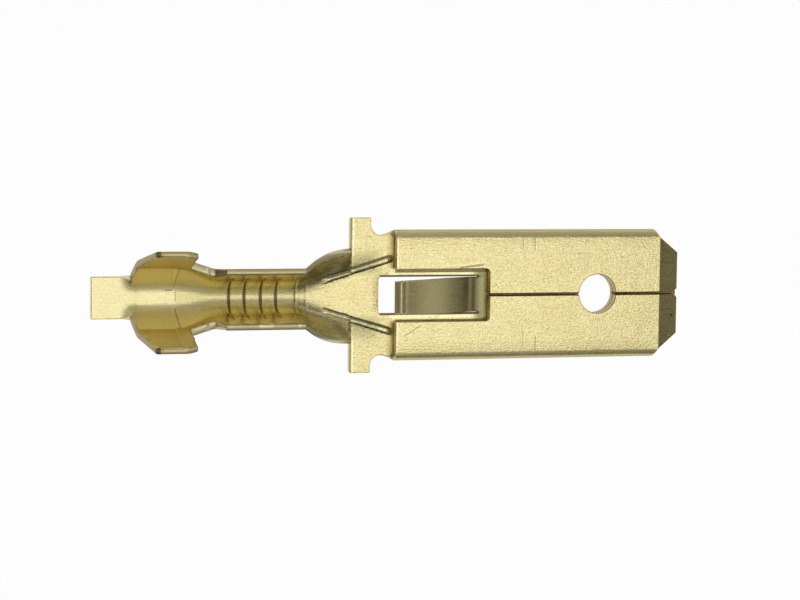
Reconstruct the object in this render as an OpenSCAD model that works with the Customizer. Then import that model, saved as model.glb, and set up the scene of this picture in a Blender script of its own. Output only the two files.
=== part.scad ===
// Male blade terminal with open crimp barrels, stamped and folded from one brass strip.
// The blade points along +X, the barrels open upwards, and the flat underside is z = 0.

/* [Sheet] */
// Thickness of the brass strip
sheet_t = 0.4; // [0.3:0.05:0.5]
// Thickness of the coined tips of the crimp wings
wing_tip_t = 0.28; // [0.2:0.02:0.4]
// Gap left inside the two hems of the blade
hem_gap = 0.03; // [0.02:0.01:0.1]

/* [Blade] */
// Width of the blade over its hems
blade_w = 6.3; // [5.8:0.1:7]
// Length of the blade from the rear edge of the flaps to the tip
blade_l = 14.5; // [13:0.1:18]
// Gap between the two flaps along the middle
seam_w = 0.1; // [0.05:0.01:0.3]
// Width across the front of the tip
tip_w = 4; // [3:0.1:4.6]
// Length of the corner cuts at the tip
tip_cut_l = 1.22; // [1.02:0.02:1.6]
// Length of the coined bevel at the tip
bevel_l = 1; // [0.6:0.05:1.2]
// Thickness left at the front of the tip
tip_t = 0.42; // [0.3:0.02:0.5]
// Depth of the notch where the seam runs out at the tip
seam_notch = 0.22; // [0.1:0.02:0.4]
// Diameter of the detent hole
hole_d = 1.9; // [1.4:0.05:2.4]
// Distance from the tip to the centre of the detent hole
hole_back = 4.25; // [3.4:0.05:5]

/* [Lance] */
// Length of the window in the flaps, from their rear edge
window_l = 4.7; // [4.4:0.05:6]
// Width of the window in the flaps
window_w = 2.52; // [2.2:0.02:3.2]
// Corner radius at the front of that window
window_r = 0.2; // [0.1:0.02:0.4]
// Width of the slot that the lance leaves in the base
slot_w = 1.87; // [1.75:0.01:2.1]
// Length of the slot behind the rear edge of the flaps
slot_lead = 0.76; // [0.5:0.02:0.9]
// Distance from the rear edge of the flaps to the root of the lance
lance_root = 4.2; // [3.8:0.05:4.3]
// Shear clearance beside the lance at its root
lance_clear = 0.04; // [0.02:0.01:0.06]
// Width of the lance at its free end
lance_tip_w = 1.52; // [1:0.02:1.6]
// Distance from its root to where the lance starts to narrow
lance_taper = 1.8; // [1:0.1:2.4]
// Length of the lance along the sheet
lance_l = 4.85; // [4:0.05:4.9]
// Inside radius of the bends in the lance
lance_r = 0.9; // [0.5:0.1:1.2]
// Steepest slope of the lance, next to its root
lance_steep = 31; // [26:1:36]
// Slope of the long middle of the lance
lance_slope = 21; // [16:1:25]
// Length of the last bend at the free end of the lance
lance_end_l = 0.6; // [0.3:0.05:1]
// Turn of that last bend
lance_end_turn = 24; // [10:1:30]

/* [Shoulder] */
// Length of the waist between the flaps and the ears
waist_l = 1.16; // [1.1:0.02:2]
// Width of the waist
waist_w = 5.77; // [5.2:0.01:6.2]
// Radius of the hollow in front of each ear
waist_r = 0.5; // [0.3:0.05:0.55]
// Length of the ears
ear_l = 1.02; // [0.8:0.02:1.6]
// Width over the two ears
ear_span = 7.45; // [7:0.05:9]
// Corner radius of the ears
ear_r = 0.1; // [0.05:0.01:0.2]

/* [Transition] */
// Length of the flare from the wire barrel to the ears
flare_l = 2.58; // [2:0.02:4]
// Width of the flat floor of the flare where it meets the ears
flare_floor = 1.9; // [1.7:0.05:2.1]
// Length of the bend from that floor to the walls
flare_bend_l = 0.3; // [0.2:0.02:0.4]
// Slope of the walls of the flare where they end
flare_lean = 31; // [20:1:40]
// Width of the strip at the end of the flare, measured along the sheet
flare_strip = 4.72; // [4.4:0.04:5]
// Slope of the plate next to the ribs where the ears begin
ear_lean = 20; // [6:1:24]
// Length over which that slope runs out flat
ear_fade = 1.5; // [1:0.05:1.7]
// Spread of the two stiffening ribs at their rear ends
rib_rear_y = 0.8; // [0.6:0.02:1]
// Spread of the two stiffening ribs at the flaps
rib_front_y = 1.74; // [1.5:0.02:2]
// Length of the stiffening ribs along the strip
rib_l = 3.24; // [2.6:0.02:4]
// Radius of the rib section
rib_r = 0.17; // [0.1:0.01:0.2]
// Height of the ribs above the sheet
rib_h = 0.1; // [0.05:0.01:0.15]

/* [Wire barrel] */
// Length of the wire barrel
wire_l = 3.75; // [3:0.05:6]
// Inside radius of the wire barrel floor
wire_r = 0.87; // [0.7:0.01:1.1]
// Angle of the wire wings from level
wire_lean = 77; // [70:1:86]
// Straight height of the wire wings
wire_wall = 1.24; // [1:0.02:2]
// Length of the slanted rear edge of the wire wings
wire_slant = 0.42; // [0.2:0.02:0.6]
// Number of serrations across the wire barrel
serrations = 4; // [2:1:4]
// Distance between serrations
serration_pitch = 0.75; // [0.5:0.05:0.8]
// Distance from the rear of the wire barrel to the first serration
serration_start = 0.45; // [0.3:0.05:0.8]
// Width of each serration
serration_w = 0.14; // [0.08:0.01:0.2]
// Depth of each serration
serration_d = 0.06; // [0.03:0.01:0.1]

/* [Insulation barrel] */
// Length of the insulation barrel
grip_l = 2.6; // [2.2:0.02:4]
// Width of its flat floor
grip_floor = 0.72; // [0.6:0.02:0.8]
// Turn of the corners beside its floor
grip_corner = 30; // [24:1:34]
// Inside radius of those corners
grip_r = 0.4; // [0.2:0.02:0.5]
// Length of its curved lower walls
grip_low_wall = 1.24; // [1:0.02:1.5]
// Turn of those walls over their length
grip_curve = 26; // [18:1:30]
// Angle of its wings from level
grip_lean = 76; // [70:1:84]
// Inside radius of the crease below the wings
grip_crease_r = 0.09; // [0.05:0.01:0.2]
// Straight length of its wings
grip_wall = 2.5; // [1.8:0.05:3]
// Length of the slanted rear edge of its wings
grip_rear_l = 0.7; // [0.4:0.05:0.9]
// Length by which the round neck starts below the front of its wings
die_back = 0.55; // [0.3:0.05:0.7]

/* [Neck and stub] */
// Length of the neck between the two barrels
neck_l = 1.62; // [1.2:0.02:2.4]
// Wall length above the bends where the neck leaves the insulation barrel
neck_rear_wall = 0.36; // [0.2:0.02:0.8]
// Wall length above the bends where the neck meets the wire barrel
neck_front_wall = 0.6; // [0.4:0.02:0.9]
// Length of the cut-off carrier stub
stub_l = 1.82; // [1.2:0.02:3]
// Width of the cut-off carrier stub
stub_w = 1.98; // [1.8:0.02:2.4]
// Length over which the stub rises into the insulation barrel
stub_rise_l = 0.7; // [0.4:0.05:1]

/* [Hidden] */

$fn = 96;
// A loft ends this much inside the faces of the sheet that it runs into
seat = 0.012;
// Length by which neighbouring parts of the strip run into each other
lap = 0.1;
// Margin of a cut past the faces that it opens
past = 1;
// Depth to which the round punch sinks the floor of the wire barrel
punch = 0.02;
// Length over which a wing rises from its neighbour's edge
wing_end = 0.04;
// Least length of a run in a folded section
foot = 0.05;
// Width of the slit that parts the walls of the flare from the ears
slit_w = 0.06;
// Straight length between the two bends that bring the plate back to level
ear_flat = 0.15;
// Sections along each changing stretch of the strip
steps = 8;
// Facets along floor, bend, lower wall, bend and wing of a folded section
facets = [1, 3, 5, 3, 2];
// Shares of the wire barrel's round floor that stand for floor, bend, lower wall and bend
round_shares = [0.17, 0.25, 0.4, 0.18];
// Shares of a flat section that stand for floor, bend, lower wall and bend, the wing taking the rest
flat_shares = [0.36, 0.12, 0.42, 0.05];
// Steps of the drawn hollows and corners
arc_steps = 12;
// Turn of the hollow in front of each ear, past level
waist_turn = 25;
// Share of the corner cut's width that is reached at the bevel
knee_share = 0.82;

total_l = stub_l + grip_l + neck_l + wire_l + flare_l + ear_l + waist_l + blade_l;
x_stub = -total_l / 2;
x_grip = x_stub + stub_l;
x_neck = x_grip + grip_l;
x_die = x_neck - die_back;
x_wire = x_neck + neck_l;
x_flare = x_wire + wire_l;
x_ear = x_flare + flare_l;
x_waist = x_ear + ear_l;
x_blade = x_waist + waist_l;
x_tip = x_blade + blade_l;

blade_t = 2 * sheet_t + hem_gap;
flap_z = sheet_t + hem_gap;
base_w = blade_w - blade_t;
corner_y = blade_w / 2 - sheet_t / 4;
wire_axis_z = sheet_t - punch + wire_r;

brass = [0.80, 0.71, 0.45];

function mix(a, b, u) = a + (b - a) * u;
function ease(u) = u * u * (3 - 2 * u);
// The flare opens fast at first
function opened(u) = u * (1.25 - 0.25 * u);

// Length of a bend along the middle of the sheet
function bend_run(inside_r, turn) = (inside_r + sheet_t / 2) * turn * PI / 180;

// A folded half section is a list of runs from the middle outwards, each [length, turn]
crease = grip_lean - grip_corner - grip_curve;
grip_runs = [
    [grip_floor / 2, 0],
    [bend_run(grip_r, grip_corner), grip_corner],
    [grip_low_wall, grip_curve],
    [bend_run(grip_crease_r, crease), crease]
];
wire_runs = [for (share = round_shares) share * [bend_run(wire_r - punch, wire_lean), wire_lean]];
flare_runs = [[flare_floor / 2, 0], [flare_bend_l, flare_lean], [2 * foot, 0], [2 * foot, 0]];
stub_runs = [for (share = flat_shares) [stub_w / 2 * share, 0]];
stub_edge = stub_w / 2 * (1 - flat_shares * [1, 1, 1, 1]);
// The stub's own width, bent to the slope of the lower walls of the insulation barrel
foot_wall = stub_w / 2 - grip_runs[0][0] - grip_runs[1][0] - 2 * foot;
foot_runs = [grip_runs[0], grip_runs[1], foot_wall / grip_low_wall * grip_runs[2], [foot, 0]];

// Width of a list of runs along the sheet
function width(runs) = [for (run = runs) run[0]] * [1, 1, 1, 1];

// Section between the insulation barrel and the wire barrel
function neck_runs(x) = mix(grip_runs, wire_runs, ease((x - x_die) / (x_wire - x_die)));

// Section through the ears: up beside the ribs and back to level, flat where the blade begins
function ear_runs(x) =
    let (
        past_ear = min(ear_fade, x - x_ear),
        turn = ear_lean * (1 - ease(past_ear / ear_fade)),
        spread = (rib_front_y - rib_rear_y) / rib_l
    )
    [
        [flare_floor / 2 + past_ear * spread, 0],
        [flare_bend_l, turn],
        [ear_flat, 0],
        [flare_bend_l, -turn]
    ];

grip_edge = width(grip_runs) + grip_wall;
wire_edge = width(wire_runs) + wire_wall;
slit_edge = width(ear_runs(x_ear)) + foot;
// Share of the slanted rear edge that lies below the wings of the insulation barrel
rear_share = (width(grip_runs) + foot - stub_w / 2) / (grip_edge - stub_w / 2);

// Place and slope after a part of a run that starts at [y, z, slope]
function along(run, start, part) =
    let (l = run[0] * part, turn = run[1] * part, a = start[2])
    turn == 0
    ? [start[0] + l * cos(a), start[1] + l * sin(a), a]
    : let (r = l * 180 / PI / turn)
      [start[0] + r * (sin(a + turn) - sin(a)), start[1] + r * (cos(a) - cos(a + turn)), a + turn];

// Points along the middle of a folded sheet, each [y, z, slope]
function trace(runs, counts, start, i = 0) =
    i == len(runs)
    ? [start]
    : concat(
        [for (k = [0 : counts[i] - 1]) along(runs[i], start, k / counts[i])],
        trace(runs, counts, along(runs[i], start, 1), i + 1)
      );

// Points on one face of the folded sheet, at half its thickness from the middle
function face_points(middle, half_t) =
    [for (i = [0 : len(middle) - 1])
        let (p = middle[i], h = is_list(half_t) ? half_t[i] : half_t)
        [p[0] - h * sin(p[2]), p[1] + h * cos(p[2])]];

// Closed section of the strip at x: upper face from right to left, then the lower face back
function section(x, runs, wing, wing_t, core_t = sheet_t) =
    let (
        middle = trace(concat(runs, [[wing, 0]]), facets, [0, sheet_t / 2, 0]),
        n = len(middle) - 1,
        wing_n = facets[len(facets) - 1],
        half = [for (i = [0 : n]) mix(core_t, wing_t, max(0, (i - n + wing_n) / wing_n)) / 2],
        upper = face_points(middle, half),
        lower = face_points(middle, -half)
    )
    concat(
        [for (i = [n : -1 : 1]) [x, -upper[i][0], upper[i][1]]],
        [for (p = upper) [x, p[0], p[1]]],
        [for (i = [n : -1 : 1]) [x, lower[i][0], lower[i][1]]],
        [for (p = lower) [x, -p[0], p[1]]]
    );

// Stub: flat, then rising into the walls of the insulation barrel
stub_sections = concat(
    [section(x_stub, stub_runs, stub_edge, sheet_t)],
    [for (i = [0 : steps])
        let (u = i / steps, rise = u * u)
        section(
            mix(x_grip - stub_rise_l, x_grip, u),
            mix(stub_runs, foot_runs, rise),
            mix(stub_edge, foot, rise),
            sheet_t
        )]
);

// Insulation barrel: slanted rear edge and wings, the floor turning round under their front
grip_sections = concat(
    [
        section(x_grip + grip_rear_l * rear_share, grip_runs, foot, sheet_t),
        section(x_grip + grip_rear_l, grip_runs, grip_wall, wing_tip_t)
    ],
    [for (x = [x_die, mix(x_die, x_neck, 0.5), x_neck]) section(x, neck_runs(x), grip_wall, wing_tip_t)]
);

// Neck: from the insulation section to the round wire section
neck_sections = [
    for (i = [0 : steps])
    let (u = i / steps, x = mix(x_neck + wing_end, x_wire - wire_slant, u))
    section(x, neck_runs(x), mix(neck_rear_wall, neck_front_wall, u), sheet_t)
];

wire_sections = [
    section(x_wire, wire_runs, wire_wall, wing_tip_t),
    section(x_flare, wire_runs, wire_wall, wing_tip_t)
];

// Flare: the round section opens out towards the ears, and its middle runs on into the shoulder
flare_sections = concat(
    [for (i = [1 : steps])
        let (u = i / steps, runs = mix(wire_runs, flare_runs, opened(u)))
        section(
            mix(x_flare, x_ear - slit_w, u),
            runs,
            mix(wire_edge, flare_strip / 2, u) - width(runs),
            mix(wing_tip_t, sheet_t, u)
        )],
    [
        section(x_ear - slit_w + seat, flare_runs, slit_edge - width(flare_runs), sheet_t),
        section(x_ear + lap, ear_runs(x_ear + lap), foot, sheet_t - 2 * seat, sheet_t - 2 * seat)
    ]
);

function arc(centre, r, from, to) = [
    for (i = [0 : arc_steps])
    let (a = mix(from, to, i / arc_steps))
    centre + r * [cos(a), sin(a)]
];

// Skin through a list of closed sections, each a folded band of paired points
module loft(sections) {
    m = len(sections[0]);
    last = len(sections) - 1;
    function band(first, flip) = [
        for (i = [0 : m / 2 - 2])
        let (a = first + i, b = first + i + 1, c = first + m - 2 - i, d = first + m - 1 - i)
        each flip ? [[a, b, c], [a, c, d]] : [[a, c, b], [a, d, c]]
    ];
    polyhedron(
        points = [for (s = sections) each s],
        faces = concat(
            [for (k = [0 : last - 1]) for (i = [0 : m - 1])
                let (a = k * m + i, b = k * m + (i + 1) % m)
                each [[a, b + m, a + m], [a, b, b + m]]],
            band(0, false),
            band(last * m, true)
        )
    );
}

// Half width of the shoulder along the strip, each [x, half width]
shoulder_edge = concat(
    arc([x_ear + ear_r, ear_span / 2 - ear_r], ear_r, 180, 90),
    [[x_waist - seat, ear_span / 2]],
    arc([x_waist + waist_r, waist_w / 2 + waist_r], waist_r, 180, 270 + waist_turn),
    [[x_blade - seat, corner_y]]
);

// Ears and waist, running into the base and the hems of the blade
shoulder_sections = concat(
    [for (p = shoulder_edge)
        let (runs = ear_runs(p[0]))
        section(p[0], runs, p[1] - width(runs), sheet_t)],
    [
        let (runs = ear_runs(x_blade + lap))
        section(x_blade + lap, runs, base_w / 2 - width(runs), sheet_t - 2 * seat, sheet_t - 2 * seat)
    ]
);

// The crimp end: stub, insulation barrel, neck, wire barrel and flare in one folded strip
module crimp_end() {
    loft(concat(stub_sections, grip_sections, neck_sections, wire_sections, flare_sections));
}

// Round floor that the punch sinks into the wire barrel
module wire_floor() {
    translate([x_wire + wing_end, 0, wire_axis_z])
        rotate([0, 90, 0])
            cylinder(r = wire_r, h = wire_l - 2 * wing_end);
}

// V-shaped ring that cuts one serration into the round floor
module serration() {
    rotate([0, 90, 0])
        rotate_extrude()
            polygon([
                [wire_r - serration_d, -serration_w],
                [wire_r + serration_d, 0],
                [wire_r - serration_d, serration_w]
            ]);
}

module shoulder() {
    loft(shoulder_sections);
}

// Bar with round edges across the blade, from the height z upwards
module across(z, thick) {
    translate([-base_w / 2, z])
        square([base_w, thick]);
    for (side = [-1, 1])
        translate([side * base_w / 2, z + thick / 2])
            circle(d = thick);
}

// The strip folded over at both edges of the blade: base, hems and the two flaps
module folded_strip() {
    translate([x_blade, 0, 0])
        rotate([90, 0, 90])
            linear_extrude(blade_l)
                difference() {
                    across(0, blade_t);
                    across(sheet_t, hem_gap);
                    translate([-seam_w / 2, flap_z - hem_gap / 2])
                        square([seam_w, sheet_t + past]);
                }
}

// Window in the flaps above the lance, and the notch where the seam runs out
module flap_window() {
    translate([x_blade, 0, flap_z - hem_gap / 2])
        linear_extrude(sheet_t + past) {
            translate([-past, -window_w / 2])
                square([past + window_l - window_r, window_w]);
            translate([0, window_r - window_w / 2])
                square([window_l, window_w - 2 * window_r]);
            for (side = [-1, 1])
                translate([window_l - window_r, side * (window_w / 2 - window_r)])
                    circle(r = window_r);
        }
    translate([x_tip, 0, flap_z - hem_gap / 2])
        linear_extrude(sheet_t + past)
            polygon([[-seam_notch, 0], [past, -seam_notch - past], [past, seam_notch + past]]);
}

module lance_slot() {
    translate([x_blade - slot_lead, -slot_w / 2, -past])
        cube([slot_lead + lance_root, slot_w, sheet_t + hem_gap / 2 + past]);
}

module detent_hole() {
    translate([x_tip - hole_back, 0, -past])
        cylinder(d = hole_d, h = blade_t + 2 * past);
}

// Corner cuts of the tip in plan
module tip_plan() {
    knee_y = mix(tip_w / 2, blade_w / 2, bevel_l / tip_cut_l * knee_share);
    for (side = [0, 1])
        mirror([0, side, 0])
            translate([0, 0, -past])
                linear_extrude(blade_t + 2 * past)
                    polygon([
                        [x_tip - tip_cut_l, blade_w / 2 + past],
                        [x_tip - tip_cut_l, blade_w / 2],
                        [x_tip - bevel_l, knee_y],
                        [x_tip, tip_w / 2],
                        [x_tip + past, tip_w / 2 - past],
                        [x_tip + past, blade_w / 2 + past]
                    ]);
}

// Wedges that coin the tip above and below
module tip_bevel() {
    step = (blade_t - tip_t) / 2;
    for (side = [0, 1])
        translate([0, 0, blade_t / 2])
            mirror([0, 0, side])
                rotate([90, 0, 0])
                    linear_extrude(2 * blade_w, center = true)
                        polygon([
                            [x_tip - bevel_l, blade_t / 2],
                            [x_tip + bevel_l, blade_t / 2 - 2 * step],
                            [x_tip + bevel_l, blade_t / 2 + past],
                            [x_tip - bevel_l, blade_t / 2 + past]
                        ]);
}

// Locking lance: one strip with a bend at its root, a weaker bend back and a last bend at its free end
module lance() {
    rise = bend_run(lance_r, lance_steep);
    fall = bend_run(lance_r, lance_steep - lance_slope);
    runs = [
        [lap, 0],
        [rise, lance_steep],
        [fall, lance_slope - lance_steep],
        [lance_l - rise - fall - lance_end_l, 0],
        [lance_end_l, lance_end_turn]
    ];
    middle = trace(runs, [1, steps, steps, 1, steps], [-lap, sheet_t / 2, 0]);
    upper = face_points(middle, sheet_t / 2);
    lower = face_points(middle, -sheet_t / 2);
    root_w = slot_w - 2 * lance_clear;
    translate([x_blade + lance_root, 0, 0])
        mirror([1, 0, 0])
            intersection() {
                rotate([90, 0, 0])
                    linear_extrude(2 * slot_w, center = true)
                        polygon(concat(upper, [for (i = [len(lower) - 1 : -1 : 0]) lower[i]]));
                translate([0, 0, -past])
                    linear_extrude(lance_l + past)
                        polygon([
                            [-past, -root_w / 2],
                            [lance_taper, -root_w / 2],
                            [lance_l, -lance_tip_w / 2],
                            [lance_l, lance_tip_w / 2],
                            [lance_taper, root_w / 2],
                            [-past, root_w / 2]
                        ]);
            }
}

// Stiffening rib pressed up along the edge of the wedge between flare and flaps
module rib() {
    length = norm([rib_l, rib_front_y - rib_rear_y]);
    translate([x_blade - sheet_t / 2, rib_front_y, sheet_t + rib_h - rib_r])
        rotate([0, 0, atan2(rib_front_y - rib_rear_y, rib_l)])
            rotate([0, -90, 0])
                cylinder(r = rib_r, h = length);
}

module blade() {
    difference() {
        union() {
            shoulder();
            folded_strip();
        }
        flap_window();
        lance_slot();
        detent_hole();
        tip_plan();
        tip_bevel();
    }
}

module terminal() {
    color(brass)
        difference() {
            union() {
                crimp_end();
                blade();
                lance();
                for (side = [0, 1])
                    mirror([0, side, 0])
                        rib();
            }
            wire_floor();
            for (i = [0 : serrations - 1])
                translate([x_wire + serration_start + i * serration_pitch, 0, wire_axis_z])
                    serration();
        }
}

terminal();
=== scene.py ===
from math import asin, cos, degrees, pi, radians, sin
from types import SimpleNamespace

import bmesh
import bpy
from mathutils import Matrix, Vector


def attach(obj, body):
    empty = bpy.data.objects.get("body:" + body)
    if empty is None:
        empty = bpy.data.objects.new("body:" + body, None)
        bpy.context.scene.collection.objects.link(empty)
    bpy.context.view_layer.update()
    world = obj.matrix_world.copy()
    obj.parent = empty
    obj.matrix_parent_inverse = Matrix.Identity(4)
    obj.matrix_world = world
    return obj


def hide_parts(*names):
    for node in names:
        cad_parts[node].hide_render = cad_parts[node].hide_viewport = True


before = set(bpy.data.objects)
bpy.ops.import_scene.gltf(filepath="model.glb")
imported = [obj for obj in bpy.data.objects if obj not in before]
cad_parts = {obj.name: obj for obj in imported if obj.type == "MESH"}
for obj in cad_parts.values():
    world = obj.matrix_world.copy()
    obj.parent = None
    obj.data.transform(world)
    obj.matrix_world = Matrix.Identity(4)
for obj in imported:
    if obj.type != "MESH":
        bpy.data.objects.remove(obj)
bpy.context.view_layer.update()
mm = 0.001

# The camera stands where the photograph was taken from
camera = {
    "target": (0.125, 0, 0),  # mm
    "direction": (-0.27, 0.0762, 0.9598),  # from the target to the lens
    "distance": 111.0,  # mm
    "roll": 0.634,  # degrees
    "lens": 103.75, "sensor": 36,  # mm
    "shift": (0.0080, -0.0069),
    "clip": (0.005, 10),  # m
}


def placeCamera():
    towards = Vector(camera["direction"]).normalized()
    right = Vector((0, 1, 0)).cross(towards).normalized()
    up = towards.cross(right)
    turn = radians(camera["roll"])
    across = right * cos(turn) + up * sin(turn)
    upright = up * cos(turn) - right * sin(turn)
    data = bpy.data.cameras.new("studioCamera")
    data.lens, data.sensor_width = camera["lens"], camera["sensor"]
    data.shift_x, data.shift_y = camera["shift"]
    data.clip_start, data.clip_end = camera["clip"]
    lookFrom = bpy.data.objects.new("studioCamera", data)
    place = (Vector(camera["target"]) + towards * camera["distance"]) * mm
    turned = Matrix((across, upright, towards)).transposed().to_4x4()
    lookFrom.matrix_world = Matrix.Translation(place) @ turned
    bpy.context.scene.collection.objects.link(lookFrom)
    bpy.context.scene.camera = lookFrom
    print("camera placed at", [round(v, 4) for v in place])


placeCamera()


# The terminal: one strip of brass, cut flat and folded. Lengths in mm, x along the strip, s across it.
sheet = {
    "thick": 0.4, "wingTip": 0.28, "hemGap": 0.03,
    "edgeRound": 0.035, "wingRound": 0.09, "edgeSteps": 2,
    "wornRear": 0.12, "wornFront": 0.1, "wornOut": 1.2,  # where the wings' inner edges are worn rounder
    "rimSharp": 12, "hemFade": (0.6, 0.5),  # how the masks of the cut edges and of the folds fade
}
along = {
    "stub": -14.525, "grip": -12.705, "neck": -10.105, "wire": -8.485, "flare": -4.735,
    "ear": -2.155, "waist": -1.135, "blade": 0.025, "tip": 14.525,
}
crimp = {
    "gripFloor": 0.48, "gripCorner": (0.61, 34), "gripWallLow": (1.06, 22), "gripCrease": (0.1, 20),
    "gripWall": 2.5, "gripRear": 0.7, "dieBack": 0.55,
    "wireRound": 0.85, "wireLean": 77, "wireWall": 1.24, "wireSlant": 0.42, "wingEnd": 0.04, "wingFade": 0.05,
    "roundShares": (0.17, 0.25, 0.40, 0.18),
    "neckRear": 0.36, "neckFront": 0.6, "stubWide": 1.98, "stubRise": 0.7,
    "wedgeFloor": 0.85, "wedgeBend": (0.5, 31), "wedgeWall": 0.1, "wedgeEdge": 2.36, "flareEarly": 0.25,
    "slitDeep": 1.75, "slitWide": 0.06,
    "earBend": 8, "earSpread": 1.5, "earRuns": (0.3, 0.15, 0.3), "earEnd": 0.1,
}
blade = {
    "wide": 6.3, "seam": 0.1, "tipWide": 4.0, "tipCut": 1.22, "bevelLong": 1.0, "tipThick": 0.42, "notch": 0.22,
    "kneeShare": 0.82, "holeRound": 0.95, "holeFlat": 0.83, "holeBack": 4.25,
    "windowLong": 4.7, "windowWide": 2.52, "windowRound": 0.2,
    "earSpan": 7.45, "earRound": 0.1, "earCorner": 0.05, "waistWide": 5.77, "waistRound": 0.5, "waistTurn": 25,
    "foldLead": 0.3,
}
lance = {
    "slotWide": 1.75, "slotRound": 0.12, "slotLead": 0.76, "root": 4.25, "clear": 0.04,
    "tipWide": 1.55, "taperFrom": 1.8, "long": 4.93,
    "bendRound": 1.25, "steep": 31, "slope": 15, "endLong": 0.6, "endTurn": 28,
}
relief = {
    "serrations": (-8.029, -7.287, -6.499, -5.766), "serrationWide": 0.08, "serrationDeep": 0.08,
    "faintMarks": (-4.845, -4.337), "faintDeep": 0.015, "markEnd": 1.9, "markFade": 0.4,
    "dieStep": 0.035, "dieRear": 0.5, "dieFront": 0.06,
    "ribRear": (-3.415, 0.8), "ribFront": (-0.175, 1.74), "ribWide": 0.16, "ribHigh": 0.11,
    "ribEnd": 0.15, "ribFlank": 0.4,
}
cuts = {  # spacing of the lines that the flat strip is cut along before it is folded
    "stub": 0.07, "grip": 0.1, "gripGap": 0.06, "neck": 0.08, "flare": 0.08, "across": 0.08, "acrossEnd": 4.6,
    "earLine": 2.4, "earLong": 0.09, "earWide": 0.12, "fold": 0.05, "blade": 0.5, "bevel": 0.03, "hemSteps": 12,
    "base": (0.5, 1.2, 2.0), "flap": (0.7, 1.5), "lanceBend": 0.06, "lance": 0.12, "lanceZone": 0.9,
    "serration": (-1.6, -1, -0.4, 0, 0.4, 1, 1.6),  # shares of the serration's half width
    "rib": (-2.2, -1.6, -1.25, -1, -0.7, -0.35, 0, 0.35, 0.7, 1, 1.25, 1.6, 2.2), "ribLead": 0.3, "ribZone": 0.45,
    "wing": 0.11, "neckSteps": 16, "weldRim": 0.02, "weldInner": 0.03,
}

thick = sheet["thick"]
bladeThick = 2 * thick + sheet["hemGap"]
baseHalf = (blade["wide"] - bladeThick) / 2
hemMiddle = (thick + sheet["hemGap"]) / 2  # radius of the middle of the folded edge
flapStart = baseHalf + pi * hemMiddle
flapAxis = flapStart + baseHalf  # where the middle of the blade lies, measured along the strip
flapEdge = flapAxis - blade["seam"] / 2
holeX = along["tip"] - blade["holeBack"]
bevelX = along["tip"] - blade["bevelLong"]
windowFront = along["blade"] + blade["windowLong"]
windowHalf = blade["windowWide"] / 2
slotHalf = lance["slotWide"] / 2
slotRear = along["blade"] - lance["slotLead"]
rootX = along["blade"] + lance["root"]
lanceEnd = rootX - lance["long"]
neckFrom = along["neck"] + crimp["wingEnd"]
dieEnd = along["neck"] - crimp["dieBack"]


def mix(a, b, u):
    return a + (b - a) * u


def ease(u):
    u = min(1, max(0, u))
    return u * u * (3 - 2 * u)


def bendRun(inside, turn):
    return (inside + thick / 2) * radians(turn), radians(turn)


def mixRuns(a, b, u):
    return [(mix(p[0], q[0], u), mix(p[1], q[1], u)) for p, q in zip(a, b)]


def run(pair):
    return pair[0], radians(pair[1])


ribSpread = (relief["ribFront"][1] - relief["ribRear"][1]) / (relief["ribFront"][0] - relief["ribRear"][0])
ribLine = (Vector(relief["ribFront"]) - Vector(relief["ribRear"])).normalized()
gripRuns = [
    (crimp["gripFloor"] / 2, 0), run(crimp["gripCorner"]), run(crimp["gripWallLow"]), run(crimp["gripCrease"]),
]
wireArc = bendRun(crimp["wireRound"], crimp["wireLean"])
wireRuns = [(wireArc[0] * share, wireArc[1] * share) for share in crimp["roundShares"]]
wedgeRuns = [(crimp["wedgeFloor"], 0), run(crimp["wedgeBend"]), (crimp["wedgeWall"], 0), (crimp["wedgeWall"], 0)]
flatRuns = [(length, 0) for length, turn in gripRuns]


def total(runs):
    return sum(length for length, turn in runs)


def runsAt(x):  # folded section of the strip, as runs of (length, turn) from the middle outwards
    if x < along["grip"] - crimp["stubRise"]:
        return []
    if x < along["grip"]:
        u = 1 - (along["grip"] - x) / crimp["stubRise"]
        return mixRuns(flatRuns, gripRuns, u * u)
    if x < along["wire"]:
        return mixRuns(gripRuns, wireRuns, ease((x - dieEnd) / (along["wire"] - dieEnd)))
    if x < along["flare"]:
        return wireRuns
    if x < along["ear"] - crimp["slitWide"] / 2:
        u = (x - along["flare"]) / (along["ear"] - along["flare"])
        return mixRuns(wireRuns, wedgeRuns, u * (1 + crimp["flareEarly"] * (1 - u)))
    earEnd = along["blade"] - crimp["earEnd"]
    if x < earEnd:
        turn = radians(crimp["earBend"]) * (1 - ease((x - along["ear"]) / (earEnd - along["ear"])))
        floor = crimp["wedgeFloor"] + crimp["wedgeWall"] + min(crimp["earSpread"], x - along["ear"]) * ribSpread
        rise, slant, level = crimp["earRuns"]
        return [(floor, 0), (rise, turn), (slant, 0), (level, -turn)]
    return []


def sheetAt(x, s):  # thickness, coined thinner towards the tips of the wings
    start = total(runsAt(x))
    if along["grip"] < x < neckFrom:
        thinned = min(1, (x - along["grip"]) / crimp["gripRear"]) * ease((neckFrom - x) / crimp["wingFade"])
        wing = crimp["gripWall"]
    elif along["wire"] - crimp["wireSlant"] < x < along["ear"]:
        thinned = min(1, (along["ear"] - x) / (along["ear"] - along["flare"]))
        thinned *= ease((x - along["wire"] + crimp["wireSlant"]) / crimp["wireSlant"])
        wing = crimp["wireWall"]
    else:
        return thick
    return mix(thick, sheet["wingTip"], thinned * min(1, max(0, (s - start) / wing)))


def spread(start, end, step):
    count = max(1, round((end - start) / step))
    return [mix(start, end, i / count) for i in range(count + 1)]


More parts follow.
